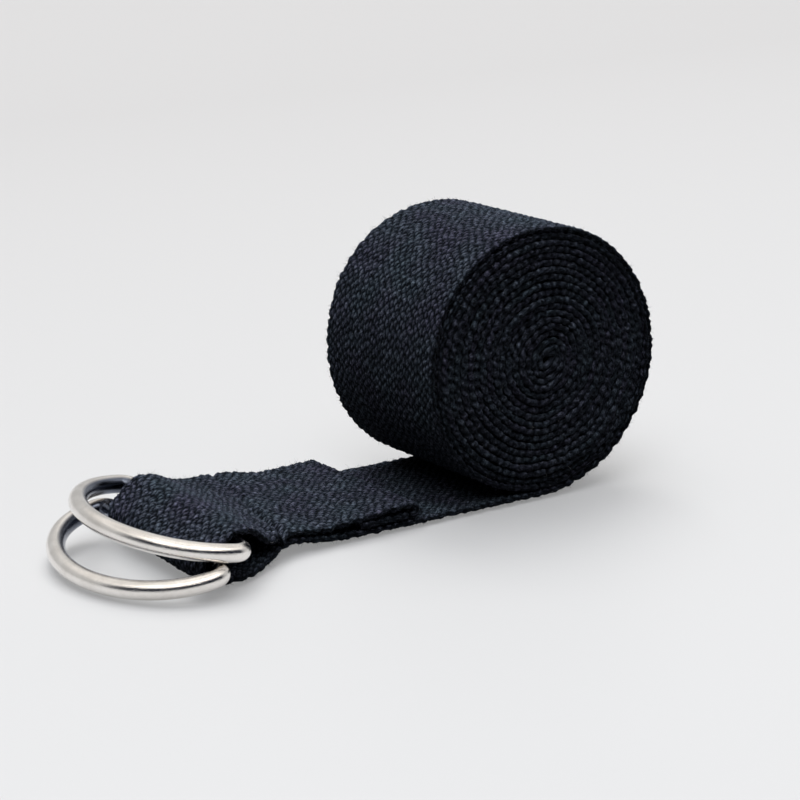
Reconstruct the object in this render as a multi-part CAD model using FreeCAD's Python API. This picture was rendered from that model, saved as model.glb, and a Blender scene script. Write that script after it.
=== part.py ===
# Stretching strap: one long cotton webbing with two D-rings sewn into one end, the rest rolled up.
#
# Frame: millimetres, +Z up. The origin lies on the resting surface, straight below the axis of the
# roll and halfway across the webbing. The rings are towards -X, and the webbing is rolled towards +X.
# The webbing is one band. It is divided across its width only where it has to bend at a joint.

import FreeCAD, Part
import math
import os
from FreeCAD import Placement, Rotation, Vector

# ---------------------------------------------------------------- driving dimensions
WEB_WIDTH = 38.0            # webbing, selvedge to selvedge
WEB_THICK = 1.46            # webbing, one ply
PLY_GAP = 0.08              # air between two plies that lie on each other
ROLL_RADIUS = 29.0          # outside of the roll
LAP_SEGMENTS = 12           # stiff stretches that stand for the outermost lap
CORE_WRAP = 6.6             # smallest full wrap, outside; inside it lies the hemmed free end
CORE_TURN = 2.4             # centre line radius of the bend into the free end
CORE_TURN_ANGLE = 150.0
FREE_END = 4.6              # straight stretch of the free end, and how much of it is turned under
FREE_HEM = 3.6
FREE_SEAM = 2.8             # from the bend to the seam that holds it

LIFT_X = -24.0              # line across the single ply about which the ring end lifts
OVERLAP_X = -30.3           # end of the return ply, on top of the lead
HEM_LENGTH = 14.0           # turned-under length at both ends of the webbing
SEAM_X = -62.5              # seam that closes the loop around the ring bars
END_SEAM_X = -40.0          # seam that holds the turned-under end to the lead
SEAM_LIFT = 1.7             # the two plies float this far above the surface at the loop seam

WIRE_RADIUS = 1.85          # ring wire
RING_HALF_WIDTH = 22.8      # ring centre line, half its width
RING_CORNER = 2.5           # ring centre line, radius between the bar and the bow
RING_BOW = 17.0             # ring centre line, depth of the half ellipse beyond the corners
RING_ROLL = 2.7             # both bars rise towards +Y by this angle
BAR_CLEARANCE = 0.30        # between a bar and the webbing around it

LOOP_SKEW = -9.0            # sideways drift of the loop, reached over the stretch below
SKEW_START_X = -54.0
SKEW_END_X = -80.0

THREAD_RADIUS = 0.22        # sewing thread
THREAD_PROUD = 0.13         # centre of the needle thread above the surface it lies on
THREAD_LEG = 0.29           # from the middle of a hole to the thread that goes down one side of it
THREAD_LOOP = 0.26          # from the middle of the plies to where each thread turns back
STITCH_LENGTH = 2.6         # one stitch, hole to hole
SEAM_MARGIN = 2.4           # a seam starts and ends this far inside the selvedges

# Each ring: a point on its bar, and how its bow is turned and raised.
LOWER_RING = {"bar": Vector(-83.7, -9.0, 5.0), "yaw": -0.5, "tilt": -8.4}
UPPER_RING = {"bar": Vector(-78.15, -8.0, 8.07), "yaw": 0.5, "tilt": 8.4}

# ---------------------------------------------------------------- derived dimensions
HALF_WIDTH = WEB_WIDTH / 2
HALF_THICK = WEB_THICK / 2
PITCH = WEB_THICK + PLY_GAP                     # one wrap, or one ply on top of another
BAR_RADIUS = WIRE_RADIUS + BAR_CLEARANCE + HALF_THICK
ROLL_SLOPE = math.tan(math.radians(RING_ROLL))
HEM_FOLD = PITCH / 2                            # centre line radius of a turned-under fold


# ---------------------------------------------------------------- webbing with straight selvedges
def advance(x, z, angle, move, share=1.0):
    """Place and heading on a centre line after a share of one move.

    A move is (length, 0) for a straight, or (radius, degrees) for an arc that turns to the left.
    """
    size, turn = move
    if turn == 0:
        return x + size * share * math.cos(angle), z + size * share * math.sin(angle), angle
    new_angle = angle + math.radians(turn) * share
    new_x = x + size * (math.sin(new_angle) - math.sin(angle))
    new_z = z - size * (math.cos(new_angle) - math.cos(angle))
    return new_x, new_z, new_angle


def beside(x, z, angle, offset, y=-HALF_WIDTH):
    """Point at an offset to the left of a centre line."""
    return Vector(x - offset * math.sin(angle), y, z + offset * math.cos(angle))


def ribbon(start_x, start_z, heading, moves):
    """Webbing bent along a centre line of straights and arcs, all of it across the full width."""
    left, right = [], []
    at = (start_x, start_z, math.radians(heading))
    for move in moves:
        end = advance(*at, move)
        for offset, edges in ((HALF_THICK, left), (-HALF_THICK, right)):
            first, last = beside(*at, offset), beside(*end, offset)
            if move[1] == 0:
                edges.append(Part.makeLine(first, last))
            else:
                middle = beside(*advance(*at, move, 0.5), offset)
                edges.append(Part.Arc(first, middle, last).toShape())
        at = end
    cap_start = Part.makeLine(left[0].Vertexes[0].Point, right[0].Vertexes[0].Point)
    cap_end = Part.makeLine(left[-1].Vertexes[-1].Point, right[-1].Vertexes[-1].Point)
    outline = Part.Wire(Part.__sortEdges__(left + right + [cap_start, cap_end]))
    return Part.Face(outline).extrude(Vector(0, WEB_WIDTH, 0))


def wrap_radius(half_turn):
    """Outside radius of one half turn of the roll, counted from the outermost."""
    return ROLL_RADIUS - half_turn * PITCH / 2


def wrap_centre_z(half_turn):
    """Even half turns share one centre, and odd ones share another half a pitch higher."""
    return ROLL_RADIUS + (half_turn % 2) * PITCH / 2


def lead():
    """Single ply that lies flat between the lift line and the roll."""
    return ribbon(LIFT_X, HALF_THICK, 0, [(-LIFT_X, 0)])


def lap_segment(index):
    """One stiff stretch of the outermost lap."""
    step = 360.0 / LAP_SEGMENTS
    half_turn = index * 2 // LAP_SEGMENTS
    radius = wrap_radius(half_turn) - HALF_THICK
    heading = index * step
    start = math.radians(heading - 90)
    start_x = radius * math.cos(start)
    start_z = wrap_centre_z(half_turn) + radius * math.sin(start)
    return ribbon(start_x, start_z, heading, [(radius, step)])


def coil_moves():
    """Wraps inside the outermost lap, as far as the free end at the core."""
    moves = []
    half_turn = 2
    while wrap_radius(half_turn) >= CORE_WRAP:
        moves.append((wrap_radius(half_turn) - HALF_THICK, 180))
        half_turn += 1
    return moves + [(CORE_TURN, CORE_TURN_ANGLE)]


def coil():
    """The wraps inside the outermost lap, ending in the hemmed free end at the core."""
    hemmed_end = [(FREE_END, 0), (HEM_FOLD, 180), (FREE_HEM, 0)]
    return ribbon(0, PITCH + HALF_THICK, 0, coil_moves() + hemmed_end)


# ---------------------------------------------------------------- webbing of the loop end
def smooth(share):
    """Eases from 0 to 1, level at both ends."""
    share = min(max(share, 0.0), 1.0)
    return share * share * (3 - 2 * share)


def skew(x):
    """Sideways drift of the loop end's centre line."""
    return LOOP_SKEW * smooth((SKEW_START_X - x) / (SKEW_START_X - SKEW_END_X))


def bar_height(ring, x):
    """Height of a ring's bar where the webbing's centre line crosses it."""
    bar = ring["bar"]
    return bar.z + ROLL_SLOPE * (skew(x) - bar.y)


def line_points(start, end, count):
    steps = [i / count for i in range(1, count + 1)]
    return [(start[0] + (end[0] - start[0]) * s, start[1] + (end[1] - start[1]) * s) for s in steps]


def ease_points(start, end, count):
    steps = [i / count for i in range(1, count + 1)]
    rise = end[1] - start[1]
    return [(start[0] + (end[0] - start[0]) * s, start[1] + rise * smooth(s)) for s in steps]


def arc_points(centre, radius, first, last, count):
    angles = [math.radians(first + (last - first) * i / count) for i in range(1, count + 1)]
    return [(centre[0] + radius * math.cos(a), centre[1] + radius * math.sin(a)) for a in angles]


def bezier_points(p0, p1, p2, p3, count):
    points = []
    for i in range(1, count + 1):
        s = i / count
        r = 1 - s
        weights = (r * r * r, 3 * r * r * s, 3 * r * s * s, s * s * s)
        x = sum(w * p[0] for w, p in zip(weights, (p0, p1, p2, p3)))
        z = sum(w * p[1] for w, p in zip(weights, (p0, p1, p2, p3)))
        points.append((x, z))
    return points


def loop_end_path():
    """Centre line of the loop end in X and Z: lead, round both bars, back to the turned-under end."""
    flat = HALF_THICK
    lower_x, upper_x = LOWER_RING["bar"].x, UPPER_RING["bar"].x
    lower = (lower_x, bar_height(LOWER_RING, lower_x))
    upper = (upper_x, bar_height(UPPER_RING, upper_x))
    slope = math.degrees(math.atan2(upper[1] - lower[1], upper[0] - lower[0]))
    seam_low = SEAM_LIFT + flat
    seam_high = seam_low + PITCH
    hem_low = flat + PITCH
    hem_high = flat + 2 * PITCH
    fold_x = OVERLAP_X - HEM_FOLD - HALF_THICK

    path = [(LIFT_X, flat)]
    path += line_points(path[-1], (OVERLAP_X - HEM_LENGTH - 1.5, flat), 6)
    path += ease_points(path[-1], (SEAM_X + 2.5, seam_low), 12)
    path += line_points(path[-1], (SEAM_X - 2.5, seam_low), 3)
    path += ease_points(path[-1], (SEAM_X - 12.0, seam_low - 0.7), 8)
    path += ease_points(path[-1], (lower[0], lower[1] - BAR_RADIUS), 8)
    path += arc_points(lower, BAR_RADIUS, -90, slope - 270, 16)
    rise = (upper[0] - lower[0], upper[1] - lower[1])
    path += line_points(path[-1], (path[-1][0] + rise[0], path[-1][1] + rise[1]), 4)
    path += arc_points(upper, BAR_RADIUS, slope + 90, 70, 7)
    crest = path[-1]
    path += bezier_points(crest, (crest[0] + 5.5, crest[1] - 2.0),
                          (SEAM_X - 5.5, seam_high + 2.6), (SEAM_X - 1.0, seam_high), 14)
    path += line_points(path[-1], (SEAM_X + 1.0, seam_high), 2)
    path += bezier_points(path[-1], (SEAM_X + 4.5, seam_high + 1.3),
                          (SEAM_X + 9.0, hem_high + 0.8), (fold_x - HEM_LENGTH, hem_high), 12)
    path += line_points(path[-1], (fold_x, hem_high), 6)
    path += arc_points((fold_x, hem_high - HEM_FOLD), HEM_FOLD, 90, -90, 8)
    path += line_points(path[-1], (OVERLAP_X - HEM_LENGTH, hem_low), 6)
    return path


def roll_share(x):
    """The loop leans with the ring bars, and is level again at the seam."""
    return smooth((SEAM_X - x) / 14.0)


def loop_point(x, z, across):
    """A point of the loop end, at a place across the webbing, from its place on the centre plane."""
    return Vector(x, skew(x) + across, z + ROLL_SLOPE * roll_share(x) * across)


def loop_end():
    """Lead, loop around both ring bars, and return ply with its end turned under, as one band."""
    path = loop_end_path()
    sections = []
    last = len(path) - 1
    for i, (x, z) in enumerate(path):
        before = path[max(i - 1, 0)]
        after = path[min(i + 1, last)]
        run, rise = after[0] - before[0], after[1] - before[1]
        length = math.hypot(run, rise)
        nx, nz = -rise / length * HALF_THICK, run / length * HALF_THICK
        corners = [loop_point(x + nx, z + nz, -HALF_WIDTH), loop_point(x + nx, z + nz, HALF_WIDTH),
                   loop_point(x - nx, z - nz, HALF_WIDTH), loop_point(x - nx, z - nz, -HALF_WIDTH)]
        sections.append(Part.makePolygon(corners + corners[:1]))
    return Part.makeLoft(sections, True, False)


# ---------------------------------------------------------------- D-rings
def ring_placement(ring):
    """Turns a ring that lies flat, bar on the Y axis and bow towards -X, into its place."""
    tilt = Rotation(Vector(0, 1, 0), ring["tilt"])
    roll = Rotation(Vector(1, 0, 0), RING_ROLL)
    yaw = Rotation(Vector(0, 0, 1), -ring["yaw"])
    return Placement(ring["bar"], yaw.multiply(roll).multiply(tilt))


def d_ring(ring):
    """Round wire bent to a D: straight bar, two corners and a half ellipse, its ends welded."""
    bar_end = RING_HALF_WIDTH - RING_CORNER
    diagonal = RING_CORNER * math.sqrt(0.5)
    corners = []
    for side in (1, -1):
        centre = Vector(-RING_CORNER, side * bar_end, 0)
        on_bar = Vector(0, side * bar_end, 0)
        middle = centre + Vector(diagonal, side * diagonal, 0)
        on_bow = Vector(-RING_CORNER, side * RING_HALF_WIDTH, 0)
        corners.append(Part.Arc(on_bar, middle, on_bow).toShape())
    bar = Part.makeLine(Vector(0, -bar_end, 0), Vector(0, bar_end, 0))
    ellipse = Part.Ellipse(Vector(-RING_CORNER, RING_HALF_WIDTH, 0),
                           Vector(-RING_CORNER - RING_BOW, 0, 0), Vector(-RING_CORNER, 0, 0))
    bow = Part.ArcOfEllipse(ellipse, 0, math.pi).toShape()
    path = Part.Wire(Part.__sortEdges__([bar, corners[0], bow, corners[1]]))
    section = Part.Wire(Part.makeCircle(WIRE_RADIUS, Vector(0, 0, 0), Vector(0, 1, 0)))
    wire = path.makePipeShell([section], True, False)
    wire.Placement = ring_placement(ring)
    return wire


# ---------------------------------------------------------------- sewing threads
def thread(place, surface, middle, stitches):
    """One of the two threads of a lockstitch seam, running across the webbing.

    It lies on a surface between two holes, and goes down each hole and back to the middle of the plies.
    place(across, height) gives the point in space.
    """
    points = []
    for hole in range(stitches + 1):
        across = (hole - stitches / 2) * STITCH_LENGTH
        if hole > 0:
            points.append(place(across - THREAD_LEG, surface))
            points.append(place(across - THREAD_LEG, middle))
        if hole < stitches:
            points.append(place(across + THREAD_LEG, middle))
            points.append(place(across + THREAD_LEG, surface))
    path = Part.makePolygon(points)
    along = points[1] - points[0]
    section = Part.Wire(Part.makeCircle(THREAD_RADIUS, points[0], along))
    return path.makePipeShell([section], True, False, 1)


def seam(place, bottom, plies):
    """Needle thread above and bobbin thread below, which meet inside the plies at every hole.

    The needle thread stands proud of the top ply, and the bobbin thread is drawn flush underneath.
    """
    stitches = int((WEB_WIDTH - 2 * SEAM_MARGIN) / STITCH_LENGTH)
    top = bottom + (plies - 1) * PITCH + WEB_THICK
    middle = (top + bottom) / 2
    needle = thread(place, top + THREAD_PROUD, middle + THREAD_LOOP, stitches)
    bobbin = thread(place, bottom + THREAD_RADIUS, middle - THREAD_LOOP, stitches)
    return needle, bobbin


def loop_seam():
    """Seam that closes the loop around the two ring bars."""
    return seam(lambda across, height: loop_point(SEAM_X, height, across), SEAM_LIFT, 2)


def end_seam():
    """Seam through the turned-under end and the lead below it."""
    return seam(lambda across, height: Vector(END_SEAM_X, across, height), 0, 3)


def free_end_seam():
    """Seam through the turned-under free end at the core of the roll."""
    at = (0, PITCH + HALF_THICK, 0)
    for move in coil_moves():
        at = advance(*at, move)
    at = advance(*at, (FREE_SEAM, 0))
    return seam(lambda across, height: beside(*at, height, across), -HALF_THICK, 2)


def write(name, shape):
    shape.exportStep(os.path.join("parts", name + ".step"))


def main():
    os.makedirs("parts", exist_ok=True)
    write("lead_webbing", lead())
    write("loop_end_webbing", loop_end())
    for index in range(LAP_SEGMENTS):
        write("lap_webbing_%02d" % (index + 1), lap_segment(index))
    write("coil_webbing", coil())
    write("d_ring_lower", d_ring(LOWER_RING))
    write("d_ring_upper", d_ring(UPPER_RING))
    seams = (("loop_seam", loop_seam()), ("end_seam", end_seam()), ("free_end_seam", free_end_seam()))
    for name, threads in seams:
        write(name + "_needle_thread", threads[0])
        write(name + "_bobbin_thread", threads[1])


main()
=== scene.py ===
"""Stretching strap: woven cotton webbing with two D-rings sewn into one end, the rest rolled up.

Shapes are worked out in millimetres in the CAD frame and scaled to metres when a mesh is made.
The webbing follows one centre line. Places on it are distances s from the turned-under end, and
"across" runs over the webbing from its near edge (negative) to its far edge.
"""

import math
from collections import namedtuple

import bpy
import numpy as np
from mathutils import Matrix, Vector

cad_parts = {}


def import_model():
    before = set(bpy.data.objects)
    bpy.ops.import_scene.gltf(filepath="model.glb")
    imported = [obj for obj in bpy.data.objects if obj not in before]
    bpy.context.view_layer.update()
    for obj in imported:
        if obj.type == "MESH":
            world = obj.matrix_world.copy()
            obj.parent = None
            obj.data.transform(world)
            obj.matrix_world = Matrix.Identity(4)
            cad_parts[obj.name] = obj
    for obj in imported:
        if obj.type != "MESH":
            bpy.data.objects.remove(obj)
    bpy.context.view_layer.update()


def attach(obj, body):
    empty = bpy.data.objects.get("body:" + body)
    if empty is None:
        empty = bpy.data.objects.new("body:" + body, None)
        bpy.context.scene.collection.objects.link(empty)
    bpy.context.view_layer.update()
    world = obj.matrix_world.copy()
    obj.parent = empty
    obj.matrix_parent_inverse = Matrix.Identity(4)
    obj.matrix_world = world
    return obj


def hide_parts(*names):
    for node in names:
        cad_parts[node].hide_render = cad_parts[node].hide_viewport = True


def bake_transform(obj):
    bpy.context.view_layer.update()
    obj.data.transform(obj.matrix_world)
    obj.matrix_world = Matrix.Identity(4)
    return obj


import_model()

MM = 0.001

# ---------------------------------------------------------------- sizes shared with the CAD
WIDTH = 38.0
THICK = 1.46
PITCH = 1.54                    # from one wrap of the roll to the next
ROLL_RADIUS = 29.0
LOOP_END_X = -30.3              # the loop end's path meets the lead's here
LIFT_X = -24.0                  # fold line of the loop end
FIRST_BEND_X = -7.5             # where the lead starts to follow the outermost lap
SEAM_X = -62.5
END_SEAM_X = -40.0
LOOP_SKEW = -9.0
LAPS = 12
WIRE_RADIUS = 1.85
RING_HALF_WIDTH = 22.8
RING_CORNER = 2.5
RING_BOW = 17.0
RING_ROLL = 2.7
LOWER_RING = {"bar": (-83.7, -9.0, 5.0), "yaw": -0.5, "tilt": -8.4}
UPPER_RING = {"bar": (-78.15, -8.0, 8.07), "yaw": 0.5, "tilt": 8.4}
RING_RISE = math.tan(math.radians(RING_ROLL))

# ---------------------------------------------------------------- weave
YARNS = 38                      # warp yarns across the webbing
YARN = WIDTH / YARNS
FLOAT = 2.0                     # one grain of the weave, along the webbing
ROW = FLOAT / 7                 # spacing of the mesh rows
RELIEF = 0.50                   # height of a grain above the valleys
EDGE_ROUND = 1.1                # the selvedge rounds off over this width
OVERLAP_ROWS = 2                # a piece reaches this far under the next one
OVERLAP_THIN = 0.06             # and gets thinner by this share a row

# ---------------------------------------------------------------- loose fibres
FIBRES_PER_MM = 26
FIBRE_EDGE_SHARE = 0.62         # share of the fibres that stand at the selvedges
FIBRE_LENGTH = 0.85
FIBRE_RADII = (0.012, 0.024)
FIBRE_POINTS = 10
LINT_SHARE = 0.022

STEP = 0.1                      # spacing of the points on the centre line


def smooth(v):
    """0 below 0, 1 above 1, with a soft passage between."""
    v = np.clip(v, 0.0, 1.0)
    return v * v * (3 - 2 * v)


def hump(v, width):
    """1 at 0, falling to nothing on both sides."""
    return np.exp(-(v / width) ** 2)


def noise(seed, a, b=None):
    """Smooth noise from -1 to 1 over one coordinate or two."""
    table = np.random.default_rng(seed).uniform(-1, 1, (64, 64))
    a = np.asarray(a, float)
    b = np.zeros_like(a) if b is None else np.asarray(b, float)
    ia, ib = np.floor(a).astype(int), np.floor(b).astype(int)
    fa, fb = smooth(a - ia), smooth(b - ib)
    low = table[ia % 64, ib % 64] * (1 - fa) + table[(ia + 1) % 64, ib % 64] * fa
    high = table[ia % 64, (ib + 1) % 64] * (1 - fa) + table[(ia + 1) % 64, (ib + 1) % 64] * fa
    return low * (1 - fb) + high * fb


def jitter(seed, a, b):
    """A fixed random value from -1 to 1 for each pair of whole numbers."""
    table = np.random.default_rng(seed).uniform(-1, 1, (64, 64))
    a, b = np.broadcast_arrays(np.asarray(a).astype(int), np.asarray(b).astype(int))
    return table[a % 64, b % 64]


# ---------------------------------------------------------------- path of the webbing
def skew(x):
    """The loop end runs askew from the seam to the rings."""
    return LOOP_SKEW * smooth((-58.5 - x) / 22.0)


def bar_height(y, ring):
    """Height of a ring's bar at a place across the strap."""
    return ring["bar"][2] + RING_RISE * (y - ring["bar"][1])


def arc(centre, radius, first, last, step=3.0):
    """Points on an arc between two angles in degrees."""
    count = max(int(abs(last - first) / step), 4)
    a = np.radians(np.linspace(first, last, count + 1))
    return np.stack([centre[0] + radius * np.cos(a), centre[1] + radius * np.sin(a)], 1)


def resample(points):
    """Points at even distances along a path."""
    gaps = np.hypot(*np.diff(points, axis=0).T)
    points = points[np.concatenate([[True], gaps > 1e-6])]
    along = np.concatenate([[0], np.cumsum(np.hypot(*np.diff(points, axis=0).T))])
    s = np.arange(0, along[-1] + 1e-9, STEP)
    return np.stack([np.interp(s, along, points[:, 0]), np.interp(s, along, points[:, 1])], 1)


def soften(points, width):
    """Rounds the corners of an evenly sampled path."""
    reach = int(3 * width / STEP)
    kernel = np.exp(-0.5 * (np.arange(-reach, reach + 1) * STEP / width) ** 2)
    kernel /= kernel.sum()
    padded = np.concatenate([2 * points[0] - points[reach:0:-1], points,
                             2 * points[-1] - points[-2:-reach - 2:-1]])
    return np.stack([np.convolve(padded[:, i], kernel, "valid") for i in (0, 1)], 1)


def loop_path():
    """Centre line of the loop end from the turned-under end, over and round both bars, to the lead."""
    half = THICK / 2
    wrap = WIRE_RADIUS + 0.30 + half
    low_x, up_x = LOWER_RING["bar"][0], UPPER_RING["bar"][0]
    low = (low_x, bar_height(skew(low_x), LOWER_RING))
    up = (up_x, bar_height(skew(up_x), UPPER_RING))
    slope = math.degrees(math.atan2(up[1] - low[1], up[0] - low[0]))
    hem = [(-44.5, PITCH + half), (-38.0, PITCH + half), (-33.0, PITCH + half + 0.05)]
    fold = arc((-32.3, PITCH + half + 1.12), 1.08, -88, 88, 8)
    top = [(-33.4, 4.47), (-36.0, 4.42), (-40.0, 4.27), (-43.5, 4.0), (-47.5, 4.15), (-52.0, 4.5),
           (-56.0, 4.85), (-59.0, 5.1), (-62.5, 5.3), (-65.4, 6.05), (-68.2, 7.0), (-71.0, 8.3),
           (-74.0, 9.9), (-75.8, 10.6)]
    over = arc(up, wrap, 78, slope + 90)
    under = arc(low, wrap, slope + 90, 268)
    back = [(-81.0, 2.0), (-78.0, 1.75), (-74.0, 1.45), (-70.0, 1.45), (-66.0, 1.95), (-62.5, 2.35),
            (-60.0, 2.15), (-56.0, 1.3), (-52.0, 0.8), (-48.0, half), (-42.0, half), (LOOP_END_X, half)]
    return soften(resample(np.concatenate([hem, fold, top, over, under, back])), 0.45)


def roll_path():
    """Centre line from the lead through every half turn of the roll to its core."""
    half_turns = 36
    runs = [np.array([(LOOP_END_X, THICK / 2), (0.0, THICK / 2)])]
    for k in range(half_turns):
        centre = (0, ROLL_RADIUS + (k % 2) * PITCH / 2)
        radius = ROLL_RADIUS - k * PITCH / 2 - THICK / 2
        first = -90 + 180 * (k % 2)
        runs.append(arc(centre, radius, first, first + 180, 0.5 + 4 * (radius < 8)))
    end = runs[-1][-1]
    runs.append(arc((end[0], end[1] + 0.66), 0.66, -90, 60, 10))
    runs.append(runs[-1][-1:] + np.array([[-1.9, 1.2]]))
    return np.concatenate(runs)


LOOP = resample(loop_path())
PATH = np.concatenate([LOOP, resample(roll_path())[1:]])
PATH_END = STEP * (len(PATH) - 1)
LOOP_LENGTH = STEP * (len(LOOP) - 1)
LIFT_S = LOOP_LENGTH + (LIFT_X - LOOP_END_X)
FOLD_S = LOOP_LENGTH - 64.0     # roughly where the webbing turns round the bars
LOWER_BAR_S = STEP * int(np.argmin(LOOP[:, 0])) + 2.0
LAP_START = LOOP_LENGTH - LOOP_END_X
LAP_LENGTH = math.pi * (2 * (ROLL_RADIUS - THICK / 2) - PITCH / 2)
COIL_START = LAP_START + LAP_LENGTH


def lap_place(turn):
    """Distance along the path at a share of the outermost lap."""
    half_lap = math.pi * (ROLL_RADIUS - THICK / 2)
    share = turn * 2
    if share <= 1:
        return LAP_START + share * half_lap
    return LAP_START + half_lap + (share - 1) * (LAP_LENGTH - half_lap)


def coil_warp(x, z, s):
    """Presses the inner wraps to a flattened, slightly off-centre eye, and makes them uneven."""
    weight = smooth((s - COIL_START - 6) / 40.0)
    u, v = x, z - (ROLL_RADIUS + PITCH / 4)
    rho = np.hypot(u, v)
    fade = np.clip(1 - rho / 27.5, 0, 1)
    tilt = math.radians(38)
    along = u * math.cos(tilt) + v * math.sin(tilt)
    stretch = 1.25 * fade * np.tanh(2.2 * along / np.maximum(rho, 0.2))
    rough = 0.36 * smooth(4 * fade)
    dx = 1.4 * fade + stretch * math.cos(tilt) + rough * noise(11, x / 6.0, z / 6.0)
    dz = 0.5 * fade + stretch * math.sin(tilt) + rough * noise(12, x / 6.0, z / 6.0)
    return x + weight * dx, z + weight * dz


def roll_sag(x, z, s):
    """The roll settles under its own weight and bulges low on the side away from the rings."""
    weight = smooth((s - LAP_START + 5) / 25.0)
    bulge = 0.42 * hump(z - 17.0, 13.0) * smooth(x / 20.0)
    return x + weight * bulge, z - weight * 0.0215 * z


def path_at(s):
    """Points x, z of the settled centre line at distances s."""
    grid = STEP * np.arange(len(PATH))
    s = np.clip(s, 0, PATH_END)
    x, z = np.interp(s, grid, PATH[:, 0]), np.interp(s, grid, PATH[:, 1])
    return roll_sag(*coil_warp(x, z, s), s)


def centre_line(s):
    """Centre points and unit normals (towards the inside of the loop and the roll) at distances s."""
    x, z = path_at(s)
    x1, z1 = path_at(s - 0.15)
    x2, z2 = path_at(s + 0.15)
    run, rise = x2 - x1, z2 - z1
    length = np.hypot(run, rise)
    return x, z, -rise / length, run / length


# ---------------------------------------------------------------- surface of the webbing
Sheet = namedtuple("Sheet", "points across level tone sides normals")


def edge_wave(s, side):
    """How far a selvedge stands out: scallops where the weft turns, with finer beads on them."""
    phase = 0.0 if side < 0 else 1.3
    wander = 0.6 * noise(21 + side, s / 7.0)
    scallop = np.abs(np.sin(math.pi * s / 3.7 + phase + wander)) ** 0.8
    bead = np.abs(np.sin(math.pi * s / FLOAT + phase))
    uneven = 0.16 * noise(31 + side, s / 1.1) + 0.16 * noise(41 + side, s / 13.0)
    return 0.42 * scallop + 0.10 * bead + uneven - 0.40


def grain(s, yarn, flip):
    """Height of a warp yarn's grain, 0 to 1, at distances s; neighbours are half a grain apart."""
    shift = 0.5 * (yarn % 2) + 0.2 * noise(51 + flip, yarn * 7.3) + 0.5 * flip
    drift = 0.34 * noise(61 + flip, yarn / 2.7 + 0 * s, s / 4.3)
    phase = s / FLOAT + shift + drift
    size = 0.84 + 0.16 * jitter(55 + flip, np.floor(phase), 0 * phase + yarn)
    return size * np.abs(np.sin(math.pi * phase)) ** 0.8


def woven_columns(s, flip):
    """One woven face, four columns to a yarn: places across, heights 0..1 and tones, rows x columns."""
    rows = s[:, None]
    yarns = np.arange(YARNS)[None, :]
    height = grain(rows, yarns, flip)
    half_step = rows / FLOAT + 0.5 * (yarns % 2)
    tone = jitter(71 + flip, np.floor(half_step), yarns)
    before = np.concatenate([height[:, :1], height[:, :-1]], 1)
    after = np.concatenate([height[:, 1:], height[:, -1:]], 1)
    slant = 0.16 * np.where(yarns % 2, 1, -1) * np.cos(math.pi * half_step)
    border = 0.13 * (before - height)
    next_border = 0.13 * (height - after)
    base = -WIDTH / 2 + yarns * YARN
    across = np.stack([base + border,
                       base + YARN * 0.25 + slant + 0.6 * border,
                       base + YARN * 0.5 + slant,
                       base + YARN * 0.75 + slant + 0.6 * next_border], 2)
    level = np.stack([0.15 * np.maximum(before, height), 0.86 * height, height, 0.86 * height], 2)
    tones = np.stack([tone] * 4, 2)
    count = len(s)
    closed = []
    for values, last in ((across, WIDTH / 2), (level, 0.3), (tones, 0.0)):
        closed.append(np.concatenate([values.reshape(count, -1), np.full((count, 1), last)], 1))
    return closed


EDGE_COLUMNS = np.array([19.0, 18.78, 18.45, 18.0, 17.2, 15.5, 9.0])


def plain_columns(s, flip):
    """The same for wraps that show only their selvedges: few columns, close together at the edges."""
    across = np.concatenate([-EDGE_COLUMNS, [0.0], EDGE_COLUMNS[::-1]])
    yarns = np.floor((across + WIDTH / 2) / YARN)
    level = grain(s[:, None], yarns[None, :], flip)
    tone = jitter(71 + flip, np.floor(s / FLOAT)[:, None], yarns[None, :])
    return np.repeat(across[None, :], len(s), 0), level, tone


def face(s, columns, flip):
    """One face of the webbing: places across, heights off the centre line, grain levels and tones."""
    sign = -1.0 if flip else 1.0
    inside = smooth((s - COIL_START) / 60.0)
    half = (THICK / 2 - 0.05 * inside)[:, None]
    across, level, tone = columns(s, flip)
    from_edge = np.clip((WIDTH / 2 - np.abs(across)) / EDGE_ROUND, 0, 1)
    # the selvedge is thickest at its beads, and pressed flat where wraps lie on both sides
    beads = np.abs(np.sin(math.pi * (s / FLOAT + 0.25 + 0.3 * noise(85 - flip, s / 5.0))))
    blunt = 0.30 + 0.34 * inside[:, None] + 0.30 * beads[:, None]
    roundness = blunt + (1 - blunt) * np.sqrt(1 - (1 - from_edge) ** 2)
    swell = 1 + 0.05 * noise(83 + flip, across / 5.0, s[:, None] / 5.0)
    offset = sign * (half * roundness * swell - RELIEF * (1 - level) * (0.35 + 0.65 * from_edge))
    near = smooth((-across - WIDTH / 2 + 4) / 4) * edge_wave(s, -1)[:, None]
    far = smooth((across - WIDTH / 2 + 4) / 4) * edge_wave(s, 1)[:, None]
    # spun yarn is never even
    column = np.arange(across.shape[1])[None, :]
    row = np.round(s / ROW)[:, None]
    offset = offset + (0.09 + 0.03 * (1 - from_edge)) * jitter(95 + flip, row, column)
    across = across - near + far + 0.05 * jitter(97 + flip, row, column)
    return across, offset, level, tone


def rim(s, side):
    """The outermost line of a selvedge, beaded where the weft turns round the last yarn."""
    beat = s / FLOAT + 0.25 + 0.3 * noise(85 + side, s / 5.0)
    size = 0.75 + 0.25 * jitter(86 + side, np.floor(beat), 0 * s)
    bead = (size * np.abs(np.sin(math.pi * beat)))[:, None]
    across = side * (WIDTH / 2 - 0.04 + 0.36 * bead) + side * edge_wave(s, side)[:, None]
    across = across + 0.13 * jitter(93 + side, np.round(s / ROW), 0 * s)[:, None]
    twist = 0.24 * np.sin(math.pi * beat)[:, None]
    # the third value is the grain height for the painted shade: the rim is darker between its beads
    return across, twist, 0.15 + 0.6 * bead, jitter(88, np.floor(beat), 0 * s)[:, None]


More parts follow.
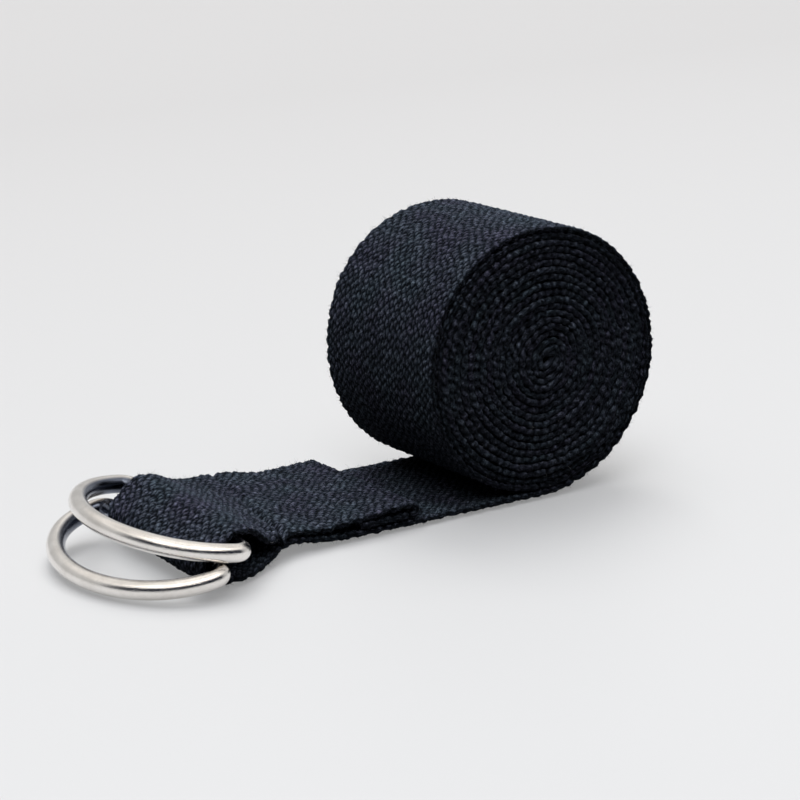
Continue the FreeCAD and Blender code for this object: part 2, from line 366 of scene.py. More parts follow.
def surface(s, columns, full=1.0):
    """Rings of points round the webbing at distances s; full is its share of the true thickness."""
    in_roll = smooth((s - LAP_START) / 20.0)
    x, z, nx, nz = centre_line(s)
    wander = (0.34 * noise(81, s / 37.0) + 0.24 * noise(82, s / 9.0)) * in_roll
    # round the section: inner face, far rim, outer face, near rim
    outer = tuple(values[:, ::-1] for values in face(s, columns, 1))
    order = [face(s, columns, 0), rim(s, 1), outer, rim(s, -1)]
    across, offset, level, tone = (np.concatenate([part[i] for part in order], 1) for i in range(4))
    offset = offset * full
    across = across * (1 - 0.02 * (1 - full))
    px = x[:, None] + nx[:, None] * offset
    pz = z[:, None] + nz[:, None] * offset
    py, pz = settle(s[:, None], x[:, None], pz, across, wander[:, None])
    sides = np.concatenate([np.full(part[0].shape[1], v) for part, v in zip(order, (1, 2, -1, -2))])
    return Sheet(np.stack([px, py, pz], 2), across, level, tone, sides, (nx, nz))


def ring_lean(s, x, upper):
    """Share of the rings' lean that the loop end has taken on; its hem stays flat."""
    early = smooth((-36.0 - x) / 22.0)
    late = smooth((SEAM_X - x) / 14.0)
    hem = smooth((17.0 - s) / 2.0)
    return upper * early * (1 - hem) + (1 - upper) * late


def edge_draw(s, x, across):
    """The far edge draws in at the bars; the near edge flares out below the lower one."""
    drawn = 0.9 * smooth((across - 13) / 6) * smooth((-68.0 - x) / 4) * smooth((x + 80) / 5)
    tucked = 3.0 * smooth((across - 5) / 14) * hump(s - LOWER_BAR_S, 8.0)
    flared = 0.9 * smooth((-across - 9) / 9) * hump(s - LOWER_BAR_S, 6.0)
    return drawn + tucked + flared


def seam_pucker(x, across):
    """The crease that the loop seam pulls in, gathers fanning from its near end, and soft ripples."""
    deeper_near = 0.65 + 0.55 * smooth((-across + 2) / 18.0)
    crease = deeper_near * hump(x - SEAM_X - 0.19 * (across + 13), 0.75)
    reach = np.hypot(x - SEAM_X, across + 21.0)
    angle = np.arctan2(across + 21.0, SEAM_X - x)
    gather = 0.55 * np.sin(10.0 * angle + 0.8) * hump(reach, 9.0) * smooth((SEAM_X - x + 2) / 4)
    ripple = noise(91, x / 9.0, across / 11.0) * 0.35 * smooth((-33 - x) / 6) * smooth((x + 76) / 6)
    return gather + ripple - crease


def settle(s, x, pz, across, wander):
    """Leans, skews and puckers the loop end and lays the roll a little unevenly; returns y and z."""
    loop = 1 - smooth((s - LOOP_LENGTH + 2) / 4)
    upper = 1 - smooth((s - FOLD_S + 10) / 20)
    top_ply = loop * upper * smooth((s - 26.0) / 4.0)
    near_edge = smooth((-across - 11) / 8)
    droop = 1.2 * hump(x + 68.5, 3.5) + 0.45 * hump(x + 53, 6)
    y = skew(x) * loop + across + wander - loop * edge_draw(s, x, across)
    z = pz + loop * RING_RISE * ring_lean(s, x, upper) * across
    z = z + top_ply * (seam_pucker(x, across) - near_edge * droop)
    z = z + loop * (1 - upper) * 0.35 * near_edge * hump(x + 55, 6)
    return y, z


# ---------------------------------------------------------------- mesh building
def mesh_object(name, points, faces, material, flat=(), attributes=None):
    """A mesh object from points in millimetres; the faces listed in flat keep their edges sharp."""
    corners = faces.shape[1]
    mesh = bpy.data.meshes.new(name)
    mesh.vertices.add(len(points))
    mesh.vertices.foreach_set("co", (np.asarray(points, np.float64) * MM).astype(np.float32).ravel())
    mesh.loops.add(faces.size)
    mesh.loops.foreach_set("vertex_index", faces.ravel().astype(np.int32))
    mesh.polygons.add(len(faces))
    mesh.polygons.foreach_set("loop_start", corners * np.arange(len(faces), dtype=np.int32))
    mesh.polygons.foreach_set("loop_total", np.full(len(faces), corners, np.int32))
    mesh.update(calc_edges=True)
    shaded_smooth = np.ones(len(faces), bool)
    shaded_smooth[list(flat)] = False
    mesh.polygons.foreach_set("use_smooth", shaded_smooth)
    for key, values in (attributes or {}).items():
        values = values.astype(np.float32)
        if values.ndim == 1:
            mesh.attributes.new(key, "FLOAT", "POINT").data.foreach_set("value", values)
        else:
            mesh.attributes.new(key, "FLOAT_VECTOR", "POINT").data.foreach_set("vector", values.ravel())
    mesh.validate()
    mesh.materials.append(material)
    obj = bpy.data.objects.new(name, mesh)
    bpy.context.scene.collection.objects.link(obj)
    return obj


def unit(vectors):
    """The same directions with length 1."""
    return vectors / np.linalg.norm(vectors, axis=-1)[..., None]


def fibres(rng, roots, outward, lengths, radius):
    """Thin bent spikes: three-sided, tapering to a point. Returns points and triangles."""
    count = len(roots)
    ahead = unit(rng.normal(size=(count, 3)) * 0.8 + outward)
    curl = rng.normal(size=(count, 3)) * 0.7
    side = unit(np.cross(ahead, rng.normal(size=(count, 3))))
    other = np.cross(ahead, side)
    rings = []
    for share, thick in ((0.0, 1.0), (0.45, 0.85), (0.8, 0.6)):
        middle = roots + (ahead * share + curl * share * share * 0.5) * lengths[:, None]
        for a in (0, 2.0944, 4.18879):
            rings.append(middle + (side * math.cos(a) + other * math.sin(a)) * radius[:, None] * thick)
    rings.append(roots + (ahead + curl * 0.5) * lengths[:, None])
    points = np.stack(rings, 1).reshape(-1, 3)
    spike = []
    for ring in (0, 3):
        for a in range(3):
            b = (a + 1) % 3
            spike += [(ring + a, ring + b, ring + 3 + b), (ring + a, ring + 3 + b, ring + 3 + a)]
    spike += [(6, 7, 9), (7, 8, 9), (8, 6, 9), (0, 2, 1)]
    first = FIBRE_POINTS * np.arange(count)[:, None, None]
    return points, (np.array(spike)[None, :, :] + first).reshape(-1, 3)


def sheet_rows(start, end):
    """Row numbers of a piece between two distances, running on under its neighbours."""
    first, last = round(start / ROW), round(end / ROW)
    before = OVERLAP_ROWS if start > 0 else 0
    after = OVERLAP_ROWS if end < PATH_END - 1 else 0
    return np.arange(first - before, last + after + 1), first, last


def triangles(quads):
    """Two triangles for each quad, without those that have no area."""
    found = np.concatenate([quads[:, [0, 1, 2]], quads[:, [0, 2, 3]]])
    a, b, c = found.T
    return found[(a != b) & (b != c) & (a != c)]


def end_cap(row, columns, turned):
    """Quads that close one end of a sheet, from the row of its ring of points."""
    top, far_rim, near_rim = row[:columns], row[columns], row[-1]
    bottom = row[columns + 1:2 * columns + 1][::-1]
    strip = np.stack([top[:-1], top[1:], bottom[1:], bottom[:-1]], 1)
    far = np.array([[top[-1], far_rim, bottom[-1], bottom[-1]]])
    near = np.array([[bottom[0], near_rim, top[0], top[0]]])
    cap = np.concatenate([strip, far, near])
    return cap[:, ::-1] if turned else cap


def fuzz_on(sheet, columns, first, last, density):
    """Loose fibres on a sheet: points, triangles, the row and column of each root, and bright lint."""
    rows, ring = sheet.points.shape[:2]
    rng = np.random.default_rng(first + 17)
    count = int((last - first) * ROW * FIBRES_PER_MM * density)
    row = rng.integers(0, rows, count)
    at_edge = rng.uniform(size=count) < FIBRE_EDGE_SHARE
    column = rng.integers(0, ring, count)
    edge = rng.integers(-3, 4, count) + np.where(rng.uniform(size=count) < 0.5, columns, ring - 1)
    column = np.where(at_edge, edge % ring, column)
    nx, nz = sheet.normals
    facing = np.where(np.abs(sheet.sides[column]) == 1, sheet.sides[column], 0)
    sideways = np.sign(sheet.across[row, column]) * at_edge
    outward = np.stack([nx[row] * facing, sideways, nz[row] * facing], 1)
    lengths = rng.uniform(0.25, 1.0, count) ** 1.5 * FIBRE_LENGTH
    radii = rng.uniform(*FIBRE_RADII, count)
    points, faces = fibres(rng, sheet.points[row, column], outward, lengths, radii)
    points[:, 2] = np.maximum(points[:, 2], 0.02)
    lint = np.repeat(rng.uniform(size=count) < LINT_SHARE, FIBRE_POINTS)
    return points, faces, row, column, lint


def webbing(name, start, end, *nodes, columns=woven_columns, density=1.0):
    """One stretch of webbing in place of CAD nodes: a closed mesh with loose fibres standing from it."""
    index, first, last = sheet_rows(start, end)
    beyond = np.maximum(np.maximum(first - index, index - last), 0)
    s = index * ROW
    sheet = surface(s, columns, (1 - OVERLAP_THIN * beyond)[:, None])
    rows, ring = sheet.points.shape[:2]
    face_columns = (ring - 2) // 2
    ids = np.arange(rows * ring).reshape(rows, ring)
    over = np.roll(ids, -1, axis=1)
    skin = triangles(np.stack([ids[:-1], ids[1:], over[1:], over[:-1]], 2).reshape(-1, 4))
    caps = np.concatenate([triangles(end_cap(ids[0], face_columns, False)),
                           triangles(end_cap(ids[-1], face_columns, True))])
    hair, hair_faces, row, column, lint = fuzz_on(sheet, face_columns, first, last, density)
    cloth = np.stack([sheet.across, np.repeat(s[:, None], ring, 1),
                      np.repeat(sheet.sides[None, :], rows, 0)], 2)
    on_hair = np.ones(len(hair))
    attributes = {
        "cloth": np.concatenate([cloth.reshape(-1, 3), np.repeat(cloth[row, column], FIBRE_POINTS, 0)]),
        # the grain height also sets the cloth's painted shade in the valleys; loose fibres count as crowns
        "relief_shade": np.concatenate([sheet.level.ravel(), 0.9 * on_hair]),
        "tone": np.concatenate([sheet.tone.ravel(), 0.0 * on_hair]),
        "lint": np.concatenate([np.zeros(rows * ring), lint]),
    }
    obj = mesh_object(name, np.concatenate([sheet.points.reshape(-1, 3), hair]),
                      np.concatenate([skin, caps, hair_faces + rows * ring]), CLOTH,
                      range(len(skin), len(skin) + len(caps)), attributes)
    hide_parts(*nodes)
    return obj


# ---------------------------------------------------------------- materials
def node(tree, kind, **values):
    """A shader node with its settings and inputs set by name."""
    n = tree.nodes.new(kind)
    for key, value in values.items():
        if hasattr(n, key) and key not in n.inputs:
            setattr(n, key, value)
        else:
            n.inputs[key].default_value = value
    return n


def noise_at(tree, place, **values):
    """Fine noise at a place, as a value from 0 to 1."""
    texture = node(tree, "ShaderNodeTexNoise", **values)
    tree.links.new(place, texture.inputs["Vector"])
    return texture.outputs["Fac"]


def ramp(tree, source, *stops):
    """Colours by value; each stop is a place and a colour."""
    n = tree.nodes.new("ShaderNodeValToRGB")
    while len(n.color_ramp.elements) < len(stops):
        n.color_ramp.elements.new(0.5)
    for element, (place, colour) in zip(n.color_ramp.elements, stops):
        element.position = place
        element.color = (*colour, 1)
    tree.links.new(source, n.inputs["Fac"])
    return n.outputs["Color"]


def mix(tree, kind, factor, a, b):
    """Blends two colours; the factor and both colours may be values or sockets."""
    n = tree.nodes.new("ShaderNodeMix")
    n.data_type = "RGBA"
    n.blend_type = kind
    for socket, value in ((n.inputs["Factor"], factor), (n.inputs[6], a), (n.inputs[7], b)):
        if isinstance(value, bpy.types.NodeSocket):
            tree.links.new(value, socket)
        elif isinstance(value, tuple):
            socket.default_value = (*value, 1)
        else:
            socket.default_value = value
    return n.outputs[2]


def map_range(tree, source, **limits):
    """Maps a value from one range to another."""
    n = tree.nodes.new("ShaderNodeMapRange")
    for key, value in limits.items():
        n.inputs[key.replace("_", " ").title()].default_value = value
    tree.links.new(source, n.inputs["Value"])
    return n.outputs["Result"]


def bump(tree, height, strength, distance, below=None):
    """A bumped normal, on top of another one if given."""
    n = node(tree, "ShaderNodeBump", Strength=strength, Distance=distance)
    tree.links.new(height, n.inputs["Height"])
    if below is not None:
        tree.links.new(below, n.inputs["Normal"])
    return n.outputs["Normal"]


def attribute(tree, name, output="Fac"):
    """A value or vector stored with the points of the mesh."""
    return node(tree, "ShaderNodeAttribute", attribute_name=name).outputs[output]


def part_of(tree, vector, axis):
    """One coordinate of a vector."""
    split = node(tree, "ShaderNodeSeparateXYZ")
    tree.links.new(vector, split.inputs["Vector"])
    return split.outputs[axis]


def grey(v):
    """A neutral colour."""
    return (v, v, v)


def new_material(name, inputs):
    """A new material with some inputs of its shader set, its node tree and the shader."""
    material = bpy.data.materials.new(name)
    material.use_nodes = True
    tree = material.node_tree
    shader = tree.nodes["Principled BSDF"]
    for key, value in inputs.items():
        shader.inputs[key].default_value = value
    return material, tree, shader


def cloth_material():
    """Black cotton: grain height sets painted shade, near black in the weave's valleys and paler on the
    crowns; twisted fibres, faint fading and bright lint.
    """
    valley_shade, grain_side, crown = (0.0010, 0.0013, 0.0022), (0.0190, 0.0224, 0.0312), (0.0510, 0.0575, 0.0735)
    plum, green = (1.0, 0.89, 0.98), (0.97, 1.09, 1.03)
    dust_colour, lint_colour = (0.10, 0.105, 0.12), (0.42, 0.42, 0.44)
    material, tree, shader = new_material("black_cotton", {
        "Roughness": 0.88, "Specular IOR Level": 0.08,
        "Sheen Weight": 0.055, "Sheen Roughness": 0.45, "Sheen Tint": (0.55, 0.76, 1.0, 1)})
    cloth = attribute(tree, "cloth", "Vector")
    twist = node(tree, "ShaderNodeMapping", vector_type="TEXTURE",
                 Rotation=(0, 0, math.radians(-26)), Scale=(0.19, 0.85, 1.0))
    tree.links.new(cloth, twist.inputs["Vector"])
    fibre = noise_at(tree, twist.outputs["Vector"], Scale=1.0, Detail=4.0, Roughness=0.68)
    patch = noise_at(tree, cloth, Scale=0.09, Detail=3.0)
    dust = noise_at(tree, cloth, Scale=2.6, Detail=2.0, Roughness=0.7)

    # painted shade: the colour darkens from the grain crowns to the valleys and the selvedge rims, where
    # the weave lies in shade
    colour = ramp(tree, attribute(tree, "relief_shade"), (0.16, valley_shade), (0.48, grain_side), (0.85, crown))
    tint = ramp(tree, patch, (0.34, plum), (0.5, grey(1.0)), (0.66, green))
    colour = mix(tree, "MULTIPLY", 1.0, colour, tint)
    tone = map_range(tree, attribute(tree, "tone"), from_min=-1.0, from_max=1.0, to_min=0.78, to_max=1.22)
    colour = mix(tree, "MULTIPLY", 1.0, colour, tone)
    strands = ramp(tree, fibre, (0.36, grey(0.08)), (0.5, grey(0.95)), (0.65, grey(3.0)))
    colour = mix(tree, "MULTIPLY", 1.0, colour, strands)
    specks = ramp(tree, dust, (0.70, grey(0.0)), (0.74, grey(0.75)))
    colour = mix(tree, "MIX", specks, colour, dust_colour)
    colour = mix(tree, "MIX", attribute(tree, "lint"), colour, lint_colour)
    tree.links.new(colour, shader.inputs["Base Color"])
    tree.links.new(bump(tree, fibre, 0.9, 0.0002), shader.inputs["Normal"])
    return material


def thread_material():
    """Black polyester thread with the two plies of its twist."""
    material, tree, shader = new_material("black_thread", {"Roughness": 0.7, "Specular IOR Level": 0.25})
    per_mm = node(tree, "ShaderNodeMapping", Rotation=(0.5, 0.0, 0.6), Scale=(1 / MM, 1 / MM, 1 / MM))
    tree.links.new(node(tree, "ShaderNodeTexCoord").outputs["Object"], per_mm.inputs["Vector"])
    ply = node(tree, "ShaderNodeTexWave", Scale=1.1, Distortion=1.5, Detail=2.0)
    tree.links.new(per_mm.outputs["Vector"], ply.inputs["Vector"])
    colour = ramp(tree, ply.outputs["Fac"], (0.1, (0.002, 0.0022, 0.003)), (0.9, (0.008, 0.0085, 0.011)))
    tree.links.new(colour, shader.inputs["Base Color"])
    tree.links.new(bump(tree, ply.outputs["Fac"], 0.7, 0.00008), shader.inputs["Normal"])
    return material


def metal_material():
    """Polished nickel plate with haze, fine scratches and pin-point pitting; a painted reflection of the
    dark cloth darkens the wire's inner side.
    """
    dull_plate, bright_plate = (0.76, 0.73, 0.695), (0.90, 0.875, 0.845)
    pit_colour, dark_cloth_reflection = (0.42, 0.41, 0.42), (0.20, 0.23, 0.30)
    material, tree, shader = new_material("worn_nickel", {"Metallic": 1.0})
    place = attribute(tree, "wire", "Vector")
    lines = node(tree, "ShaderNodeMapping", Scale=(0.35, 7.0, 7.0))
    tree.links.new(place, lines.inputs["Vector"])
    haze = noise_at(tree, place, Scale=0.22, Detail=4.0, Roughness=0.6)
    scratch = noise_at(tree, lines.outputs["Vector"], Scale=1.0, Detail=4.0, Roughness=0.7)
    pits = noise_at(tree, place, Scale=5.5, Detail=3.0, Roughness=0.75)

    colour = ramp(tree, haze, (0.3, dull_plate), (0.7, bright_plate))
    colour = mix(tree, "MIX", ramp(tree, pits, (0.62, grey(0.0)), (0.74, grey(0.7))), colour, pit_colour)
    # painted reflection: the inner side of the wire is tinted dark blue-grey as if it mirrored the black
    # cloth
    painted_inner_reflection = ramp(tree, attribute(tree, "inner"), (0.25, grey(1.0)), (0.6, dark_cloth_reflection))
    colour = mix(tree, "MULTIPLY", 1.0, colour, painted_inner_reflection)
    tree.links.new(colour, shader.inputs["Base Color"])
    polish = ramp(tree, haze, (0.25, grey(0.04)), (0.75, grey(0.13)))
    pitted = ramp(tree, pits, (0.55, grey(0.0)), (0.8, grey(0.5)))
    tree.links.new(mix(tree, "ADD", 0.35, polish, pitted), shader.inputs["Roughness"])
    scratched = bump(tree, scratch, 0.5, 0.00005)
    tree.links.new(bump(tree, pits, 0.4, 0.00005, scratched), shader.inputs["Normal"])
    return material


CLOTH = cloth_material()
THREAD = thread_material()
METAL = metal_material()


# ---------------------------------------------------------------- webbing pieces
def flat_place(x):
    """A position on the surface the strap lies on, in metres."""
    return (x * MM, 0.0, 0.0)


def path_place(s):
    """A centre line point as a position, in metres."""
    x, z = path_at(np.array([s]))
    return (float(x[0]) * MM, 0.0, float(z[0]) * MM)


def webbing_run(names, cuts, body, node_name, **look):
    """Pieces of webbing one after another, all carried by the same body."""
    for name, start, end in zip(names, cuts[:-1], cuts[1:]):
        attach(webbing(name, start, end, node_name, **look), body)


def webbing_pieces():
    """The webbing from the turned-under end to the free end at the core."""
    before_bars, after_bars = 50.0, 92.0
    lead_cut, coil_cut = LIFT_S + 12.0, COIL_START + 7.0
    webbing_run(("webbing_return_ply", "webbing_ring_fold", "webbing_lower_ply"),
                (0.0, before_bars, after_bars, LOOP_LENGTH), "loop_end", "loop_end_webbing")
    lift = webbing("webbing_lift_bend", LOOP_LENGTH, lead_cut, "loop_end_webbing", "lead_webbing")
    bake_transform(lift)

    nodes = ["lead_webbing"] + ["lap_webbing_%02d" % (i + 1) for i in range(LAPS)] + ["coil_webbing"]
    cuts = [lead_cut] + [lap_place((i + 0.5) / LAPS) for i in range(LAPS)] + [coil_cut]
    for i in range(LAPS + 1):
        piece = webbing("webbing_bend_%02d" % (i + 1), cuts[i], cuts[i + 1], nodes[i], nodes[i + 1])
        begin = path_place(cuts[i]) if i else flat_place(FIRST_BEND_X)
        path_place(cuts[i + 1])
        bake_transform(piece)

    turn = 2 * math.pi * (ROLL_RADIUS - PITCH)
    outer_cuts = [coil_cut + turn * i / 3 for i in range(4)]
    inner_cuts = np.linspace(outer_cuts[-1], PATH_END - 0.2, 4)
    webbing_run(["webbing_coil_outer_%d" % i for i in (1, 2, 3)], outer_cuts, "coil", "coil_webbing")
    webbing_run(["webbing_coil_inner_%d" % i for i in (1, 2, 3)], inner_cuts, "coil", "coil_webbing",
                columns=plain_columns, density=0.5)


# ---------------------------------------------------------------- D-rings
def ring_matrix(ring):
    """Places a ring drawn flat round the origin."""
    turn = (Matrix.Rotation(math.radians(-ring["yaw"]), 4, "Z")
            @ Matrix.Rotation(math.radians(RING_ROLL), 4, "X")
            @ Matrix.Rotation(math.radians(ring["tilt"]), 4, "Y"))
    return np.array(Matrix.Translation(Vector(ring["bar"])) @ turn)


def ring_outline():
    """The ring's centre line, bar on the Y axis and bow towards -X, as a closed run of points."""
    end = RING_HALF_WIDTH - RING_CORNER
    bar = [(0.0, y) for y in np.linspace(-end, end, 60)]
    quarter = np.radians(np.linspace(0, 90, 14))[1:]
    turn = [(-RING_CORNER + RING_CORNER * math.cos(a), end + RING_CORNER * math.sin(a)) for a in quarter]
    half = np.radians(np.linspace(0, 180, 130))[1:]
    bow = [(-RING_CORNER - RING_BOW * math.sin(a), RING_HALF_WIDTH * math.cos(a)) for a in half]
    back = [(x, -y) for x, y in turn[-2::-1]]
    return np.array(bar + turn + bow + back)


def ring_wire(name, ring, body, cad_node, seed):
    """One D-ring: round wire along the outline, barely uneven, with its weld on the bar."""
    sides = 40
    outline = ring_outline()
    tangent = unit(np.roll(outline, -1, axis=0) - np.roll(outline, 1, axis=0))
    along = np.concatenate([[0], np.cumsum(np.linalg.norm(np.diff(outline, axis=0), axis=1))])
    weld = 0.05 * hump(outline[:, 1] + 3, 0.9) * (np.abs(outline[:, 0]) < 0.01)
    radius = (WIRE_RADIUS * (1 + 0.006 * noise(seed, along / 6.0) + weld))[:, None]
    angle = np.linspace(0, 2 * math.pi, sides, endpoint=False)
    outward, upward = radius * np.cos(angle), radius * np.sin(angle)
    points = np.stack([outline[:, 0:1] + tangent[:, 1:2] * outward,
                       outline[:, 1:2] - tangent[:, 0:1] * outward, upward], 2).reshape(-1, 3)
    matrix = ring_matrix(ring)
    ids = np.arange(len(points)).reshape(-1, sides)
    up, over = np.roll(ids, -1, axis=0), np.roll(ids, -1, axis=1)
    quads = np.stack([ids, over, np.roll(up, -1, axis=1), up], 2).reshape(-1, 4)
    wire = np.stack([np.repeat(along[:, None], sides, 1), outward + 5 * seed, upward], 2).reshape(-1, 3)
    # inner marks the wire's inner side, where the metal carries a painted reflection of the dark cloth
    obj = mesh_object(name, points @ matrix[:3, :3].T + matrix[:3, 3], quads, METAL,
                      attributes={"wire": wire, "inner": np.tile(-np.cos(angle), len(outline))})
    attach(obj, body)
    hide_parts(cad_node)


# ---------------------------------------------------------------- sewing
STITCH = 2.6
STITCH_GAP = 0.12               # half the bridge of cloth between two holes
STITCHES = 12
THREAD_RADIUS = 0.18
THREAD_SIDES = 10
THREAD_RINGS = 15


def seam_line(s, side):
    """Evened points across one face of the webbing at distance s, their places across, and the way out."""
    sheet = surface(np.array([s]), woven_columns)
    chosen = np.where(sheet.sides == side)[0]
    chosen = chosen[np.argsort(sheet.across[0, chosen])]
    line = sheet.points[0, chosen]
    window = np.ones(13) / 13
    line = np.stack([np.convolve(np.pad(line[:, i], 6, "edge"), window, "valid") for i in range(3)], 1)
    nx, nz = sheet.normals
    return line, sheet.across[0, chosen], np.array([nx[0], 0, nz[0]]) * side


def stitch_points(middle, out):
    """Rings of points round one stitch; two twisted plies make its section slightly oval."""
    tangent = unit(np.gradient(middle, axis=0))
    sideways = unit(np.cross(tangent, out))
    upward = np.cross(sideways, tangent)
    a = 2 * math.pi * np.arange(THREAD_SIDES)[None, :] / THREAD_SIDES
    swell = THREAD_RADIUS * (1 + 0.10 * np.cos(2 * a + 1.1 * np.arange(THREAD_RINGS)[:, None]))
    round_it = sideways[:, None, :] * np.cos(a)[..., None] + upward[:, None, :] * np.sin(a)[..., None]
    return (middle[:, None, :] + round_it * swell[..., None]).reshape(-1, 3)


def stitch_faces():
    """Triangles of one stitch, closed at both ends."""
    faces = []
    for ring in range(THREAD_RINGS - 1):
        for q in range(THREAD_SIDES):
            a = ring * THREAD_SIDES + q
            b = ring * THREAD_SIDES + (q + 1) % THREAD_SIDES
            faces += [(a, a + THREAD_SIDES, b + THREAD_SIDES), (a, b + THREAD_SIDES, b)]
    last = (THREAD_RINGS - 1) * THREAD_SIDES
    for q in range(1, THREAD_SIDES - 1):
        faces += [(0, q, q + 1), (last, last + q + 1, last + q)]
    return np.array(faces)


def stitch_row(name, s, side, body, cad_node, sink):
    """Stitches lying on one face of the webbing at distance s, each dipping into a hole at both ends."""
    line, places, out = seam_line(s, side)
    shares = np.linspace(0, 1, THREAD_RINGS)
    lift = -sink - 0.75 * (1 - np.sin(math.pi * shares) ** 0.35)
    points = []
    for hole in range(STITCHES):
        begin = (hole - STITCHES / 2) * STITCH + STITCH_GAP
        t = begin + (STITCH - 2 * STITCH_GAP) * shares
        middle = np.stack([np.interp(t, places, line[:, i]) for i in range(3)], 1)
        points.append(stitch_points(middle + out * lift[:, None], out))
    first = len(points[0]) * np.arange(STITCHES)[:, None, None]
    faces = (stitch_faces()[None, :, :] + first).reshape(-1, 3)
    obj = mesh_object(name, np.concatenate(points), faces, THREAD)
    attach(obj, body)
    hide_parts(cad_node)


def seam_place(x, low, high):
    """Distance along the path, between low and high, where the centre line is at x."""
    s = np.arange(low, high, 0.05)
    return float(s[np.argmin(np.abs(path_at(s)[0] - x))])


def sewing():
    """Needle and bobbin threads of the three seams."""
    free_end = PATH_END - 3.0
    for seam, needle_s, bobbin_s, needle_side, body, sink in (
            ("loop_seam", seam_place(SEAM_X, 20, 60), seam_place(SEAM_X, 95, LOOP_LENGTH),
             -1, "loop_end", 0.14),
            ("end_seam", seam_place(END_SEAM_X, 16, 40), seam_place(END_SEAM_X, 110, LOOP_LENGTH),
             -1, "loop_end", 0.18),
            ("free_end_seam", free_end, free_end, 1, "coil", 0.14)):
        for thread, s, side in (("needle", needle_s, needle_side), ("bobbin", bobbin_s, -1)):
            name = "%s_%s" % (seam, thread)
            stitch_row(name, s, side, body, name + "_thread", sink)


# ---------------------------------------------------------------- floor, light and camera
def floor():
    """A pale table, painted lighter near the object and darker farther back as the light falls off; its own
    glow, painted light seen by the camera and by metal, keeps shadows light, and it throws little light
    back on the object.
    """
    half_size, drop = 3000.0, 0.6
    near_colour, far_colour = (0.432, 0.434, 0.437), (0.370, 0.368, 0.369)
    corners = ((-1, -1), (1, -1), (1, 1), (-1, 1))
    points = np.array([(x * half_size, y * half_size, -drop) for x, y in corners])
    material, tree, shader = new_material("pale_floor", {"Roughness": 0.55})
    away = part_of(tree, node(tree, "ShaderNodeTexCoord").outputs["Object"], "Y")
    # painted light falloff: the floor is coloured lighter near the object and darker farther back
    depth = map_range(tree, away, from_min=-0.12, from_max=0.5)
    seen = ramp(tree, depth, (0.0, near_colour), (1.0, far_colour))
    soft_light = node(tree, "ShaderNodeLightPath").outputs["Is Diffuse Ray"]
    colour = mix(tree, "MIX", soft_light, seen, (0.045, 0.045, 0.05))
    tree.links.new(mix(tree, "MULTIPLY", 1.0, colour, grey(0.62)), shader.inputs["Base Color"])
    tree.links.new(mix(tree, "MULTIPLY", 1.0, seen, grey(0.72)), shader.inputs["Emission Color"])
    glow = map_range(tree, soft_light, to_min=1.0, to_max=0.0)
    tree.links.new(glow, shader.inputs["Emission Strength"])
    mesh_object("floor", points, np.array([(0, 1, 2, 3)]), material)


def area(name, place, target, size, power, colour):
    """A rectangular soft light that metal does not mirror."""
    data = bpy.data.lights.new(name, "AREA")
    data.shape = "RECTANGLE"
    data.size, data.size_y = size
    data.energy = power
    data.color = colour
    obj = bpy.data.objects.new(name, data)
    bpy.context.scene.collection.objects.link(obj)
    obj.location = Vector(place)
    obj.visible_glossy = False
    obj.rotation_euler = (Vector(target) - Vector(place)).to_track_quat("-Z", "Y").to_euler()


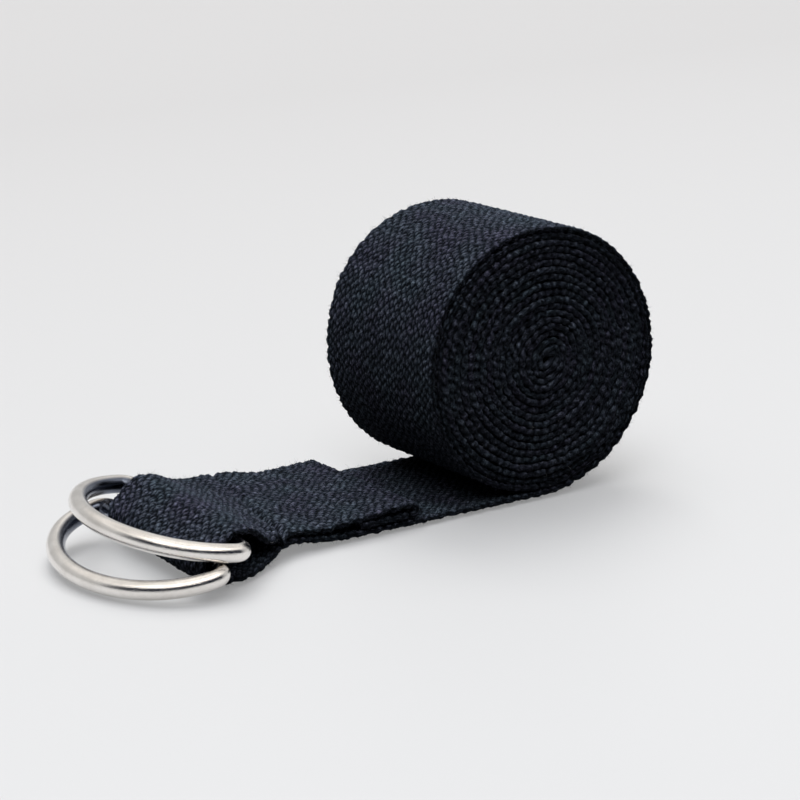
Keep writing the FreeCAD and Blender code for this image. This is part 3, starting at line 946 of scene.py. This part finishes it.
def world():
    """Soft light from above. Metal mirrors a dark band low down in front and bright panels above it."""
    backdrop = (0.77, 0.77, 0.775)
    room, dark_band = (0.80, 0.78, 0.76), (0.03, 0.035, 0.05)
    panel, ceiling = (2.3, 2.23, 2.14), (1.25, 1.21, 1.16)
    world_data = bpy.data.worlds.new("studio")
    bpy.context.scene.world = world_data
    world_data.use_nodes = True
    tree = world_data.node_tree
    direction = node(tree, "ShaderNodeTexCoord").outputs["Generated"]
    up = part_of(tree, direction, "Z")
    open_side = ramp(tree, up, (0.0, grey(0.78)), (0.10, grey(0.58)), (0.5, (0.66, 0.655, 0.65)),
                     (0.66, (1.05, 1.02, 0.99)), (0.8, (0.76, 0.74, 0.72)), (1.0, ceiling))
    dark_side = ramp(tree, up, (0.0, grey(0.76)), (0.03, grey(0.66)), (0.09, dark_band), (0.56, dark_band),
                     (0.66, (0.90, 0.88, 0.86)), (0.74, panel), (0.87, panel), (0.94, room),
                     (1.0, (1.0, 0.97, 0.93)))
    facing = node(tree, "ShaderNodeVectorMath", operation="DOT_PRODUCT")
    facing.inputs[1].default_value = (-0.45, -0.893, 0.0)
    tree.links.new(direction, facing.inputs[0])
    in_front = ramp(tree, facing.outputs["Value"], (0.0, grey(0.0)), (0.3, grey(1.0)))
    mirrored = mix(tree, "MIX", in_front, open_side, dark_side)
    soft = ramp(tree, up, (0.0, (0.02, 0.02, 0.024)), (0.5, (0.05, 0.05, 0.06)), (1.0, (1.5, 1.5, 1.54)))
    ray = node(tree, "ShaderNodeLightPath")
    colour = mix(tree, "MIX", ray.outputs["Is Glossy Ray"], soft, mirrored)
    colour = mix(tree, "MIX", ray.outputs["Is Camera Ray"], colour, backdrop)
    tree.links.new(colour, tree.nodes["Background"].inputs["Color"])
    tree.nodes["Background"].inputs["Strength"].default_value = 1.0


def camera():
    """A long lens, low above the surface, from the front left of the rings."""
    place = Vector((-0.3113, -0.4214, 0.1585))
    yaw, pitch, roll = math.radians(34.44), math.radians(15.13), math.radians(-0.81)
    forward = Vector((math.sin(yaw) * math.cos(pitch), math.cos(yaw) * math.cos(pitch), -math.sin(pitch)))
    right = Vector((math.cos(yaw), -math.sin(yaw), 0))
    up = right.cross(forward)
    tilted_right = math.cos(roll) * right + math.sin(roll) * up
    tilted_up = math.cos(roll) * up - math.sin(roll) * right
    data = bpy.data.cameras.new("camera")
    data.sensor_width = 36.0
    data.lens = 116.145
    data.clip_start = 0.01
    data.clip_end = 20.0
    obj = bpy.data.objects.new("camera", data)
    bpy.context.scene.collection.objects.link(obj)
    turn = Matrix((tilted_right, tilted_up, -forward)).transposed().to_4x4()
    obj.matrix_world = Matrix.Translation(place) @ turn
    bpy.context.scene.camera = obj


webbing_pieces()
ring_wire("ring_upper_wire", UPPER_RING, "ring_upper", "d_ring_upper", 3)
ring_wire("ring_lower_wire", LOWER_RING, "ring_lower", "d_ring_lower", 4)
sewing()
floor()
world()
camera()
area("key", (0.8, 1.15, 2.15), (-0.03, 0, 0.02), (1.5, 1.2), 56, (1.0, 0.99, 0.97))
area("top", (-0.4, 0.2, 2.6), (-0.03, 0, 0.0), (1.8, 1.5), 38, (0.98, 0.99, 1.0))
area("front", (-0.8, -0.9, 1.5), (-0.05, 0, 0.02), (0.9, 0.7), 12, (0.95, 0.97, 1.0))

view = bpy.context.scene.view_settings
view.view_transform = "Standard"
view.look = "None"
view.gamma = 0.88
